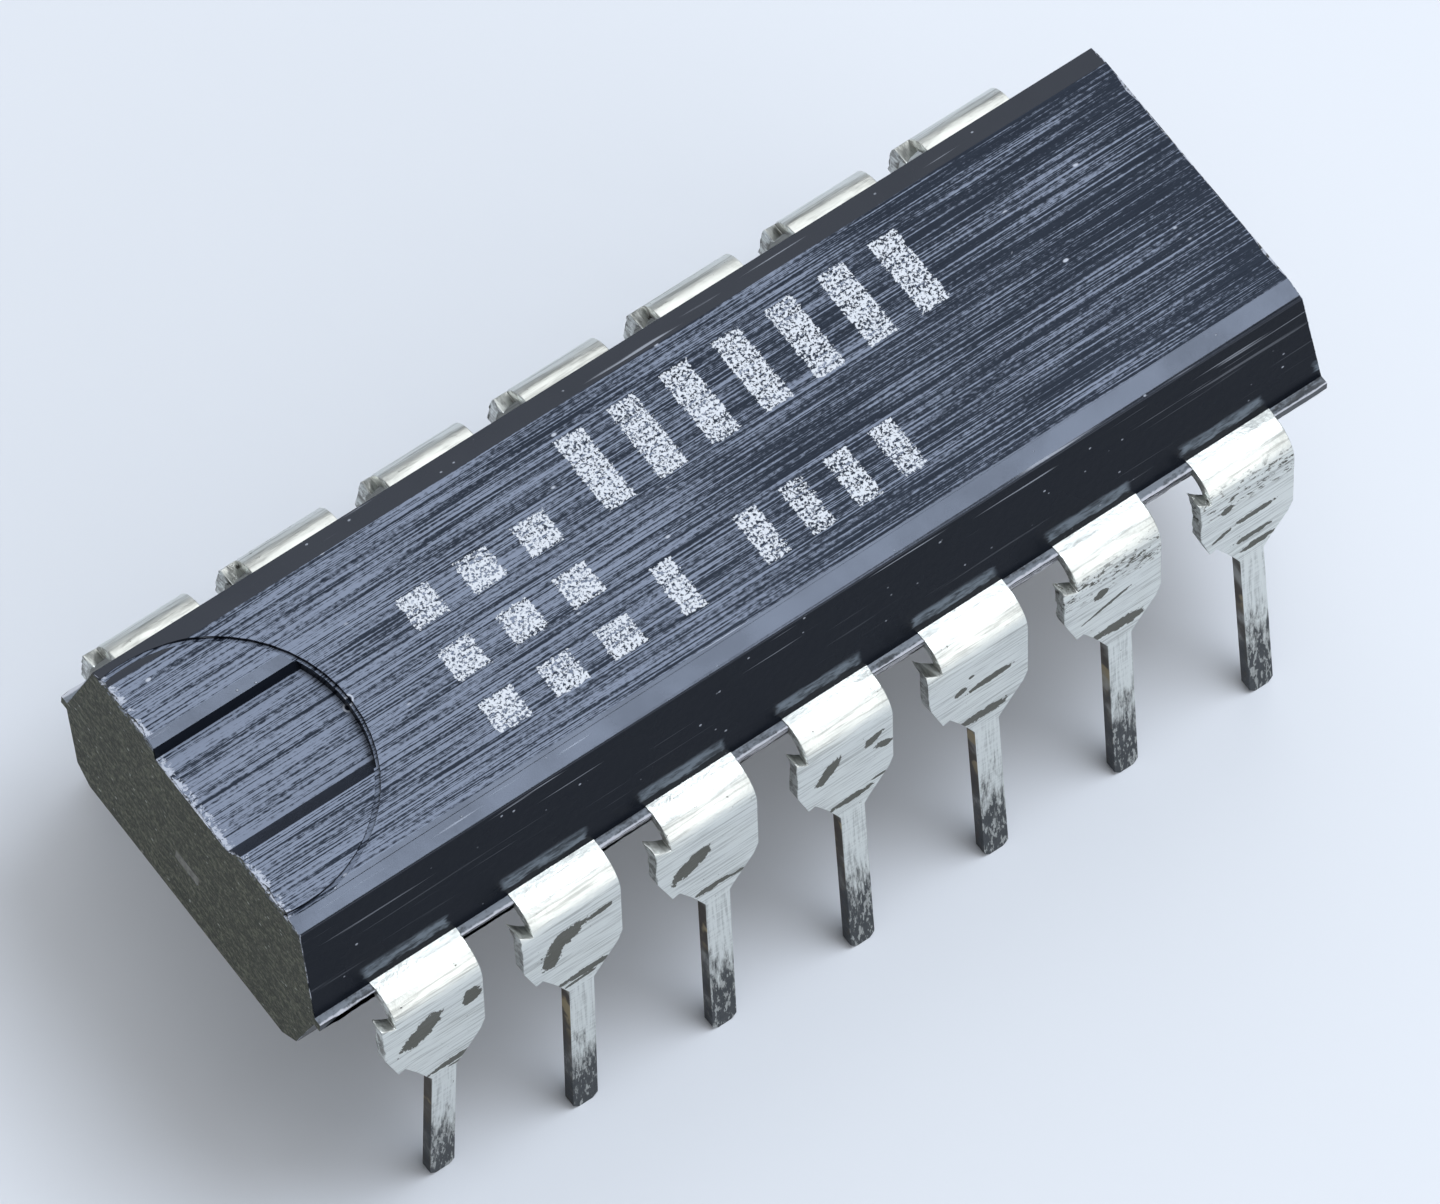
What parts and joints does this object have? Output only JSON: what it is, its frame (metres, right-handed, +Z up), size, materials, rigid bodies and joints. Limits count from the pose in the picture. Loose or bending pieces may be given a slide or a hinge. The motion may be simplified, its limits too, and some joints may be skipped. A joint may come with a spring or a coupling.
{
  "type": "dual in-line package integrated circuit",
  "caption": "Moulded plastic dual in-line integrated circuit with two rows of bent tinned leads, an end notch and a mould ring, standing on its lead tips.",
  "frame": {"origin": "middle of the package's length and width, on the plane of the lead tips", "axes": "+X along the package from the notched end to the plain end, +Y across it from leads 1 to 7 towards leads 8 to 14, +Z up out of the top face"},
  "size_m": [0.019, 0.0094, 0.008],
  "materials": {
    "moulding_resin": "moulded, lightly striated",
    "tinned_lead": "bright tin with scratches and dark tarnish",
    "lead_frame": "bare sheet",
    "adhesive": "cured paste",
    "silicon": "polished",
    "gold_wire": "drawn wire"
  },
  "bodies": {
    "root": {"package_body": "moulding_resin", "pin_01": "tinned_lead", "pin_02": "tinned_lead", "pin_03": "tinned_lead", "pin_04": "tinned_lead", "pin_05": "tinned_lead", "pin_06": "tinned_lead", "pin_07": "tinned_lead", "pin_08": "tinned_lead", "pin_09": "tinned_lead", "pin_10": "tinned_lead", "pin_11": "tinned_lead", "pin_12": "tinned_lead", "pin_13": "tinned_lead", "pin_14": "tinned_lead", "die_paddle": "lead_frame", "die_attach": "adhesive", "silicon_die": "silicon", "bond_wire_01": "gold_wire", "bond_wire_02": "gold_wire", "bond_wire_03": "gold_wire", "bond_wire_04": "gold_wire", "bond_wire_05": "gold_wire", "bond_wire_06": "gold_wire", "bond_wire_07": "gold_wire", "bond_wire_08": "gold_wire", "bond_wire_09": "gold_wire", "bond_wire_10": "gold_wire", "bond_wire_11": "gold_wire", "bond_wire_12": "gold_wire", "bond_wire_13": "gold_wire", "bond_wire_14": "gold_wire"}
  },
  "joints": []
}
